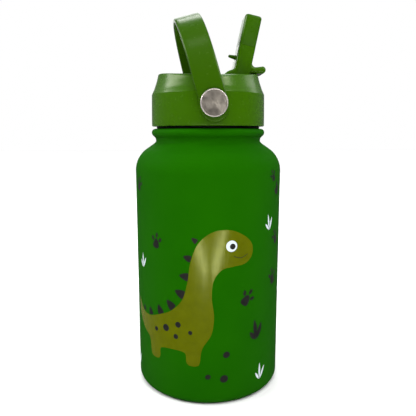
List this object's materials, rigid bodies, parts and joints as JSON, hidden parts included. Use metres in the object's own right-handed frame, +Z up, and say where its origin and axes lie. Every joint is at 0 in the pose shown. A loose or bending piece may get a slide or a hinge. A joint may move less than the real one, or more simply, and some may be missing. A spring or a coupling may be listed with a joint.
{
  "type": "kids insulated water bottle",
  "caption": "Small double-walled steel bottle for children with a screw lid, a flip drinking spout, an inner straw and a strap carrying handle.",
  "frame": {"origin": "centre of the standing face, on the bottle's axis", "axes": "+Z up along the bottle's axis, +X towards the open spout, the handle's rivets on the Y axis"},
  "size_m": [0.073, 0.073, 0.1833],
  "materials": {
    "body_paint": "matte powder coat",
    "print_gold": "metallic olive-gold ink",
    "print_dark": "satin near-black ink",
    "print_light": "satin pale grey ink",
    "bare_steel": "brushed",
    "rivet_steel": "brushed with a bright bevel",
    "solder": "dull",
    "lid_plastic": "satin gloss",
    "handle_rubber": "satin flexible",
    "soft_tip": "satin soft",
    "dark_plastic": "satin",
    "black_silicone": "matte",
    "clear_silicone": "satin, milky",
    "straw_plastic": "satin, milky"
  },
  "bodies": {
    "bottle": {"outer_shell": "body_paint", "shell_bottom": "bare_steel", "base_cap": "body_paint", "vacuum_seal": "solder", "inner_liner": "bare_steel", "liner_bottom": "bare_steel", "getter": "solder"},
    "gasket": {"neck_gasket": "black_silicone"},
    "lid": {"lid_cap": "lid_plastic", "lid_insert": "dark_plastic", "spout_seal": "clear_silicone", "vent_seal": "clear_silicone", "straw": "straw_plastic", "rivet_cap_front": "rivet_steel", "rivet_cap_back": "rivet_steel", "rivet_post_front": "bare_steel", "rivet_post_back": "bare_steel"},
    "handle": {"handle_strap": "handle_rubber"},
    "spout": {"spout_body": "lid_plastic", "mouthpiece": "soft_tip", "spout_pin_front": "bare_steel", "spout_pin_back": "bare_steel", "vent_plug": "soft_tip"}
  },
  "joints": [
    {"name": "lid_lift", "type": "slide", "parent": "bottle", "child": "gasket", "axis": [0, 0, 1], "range_m": [0, 0.125]},
    {"name": "lid_turn", "type": "hinge", "parent": "gasket", "child": "lid", "pos_m": [0, 0, 0.12995], "axis": [0, 0, 1], "range_deg": [0, 540]},
    {"name": "handle_swing", "type": "hinge", "parent": "lid", "child": "handle", "pos_m": [0, 0, 0.13963], "axis": [0, -1, 0], "range_deg": [-25, 95]},
    {"name": "spout_flip", "type": "hinge", "parent": "lid", "child": "spout", "pos_m": [0.0133, 0, 0.1492], "axis": [0, -1, 0], "range_deg": [0, 102]}
  ]
}
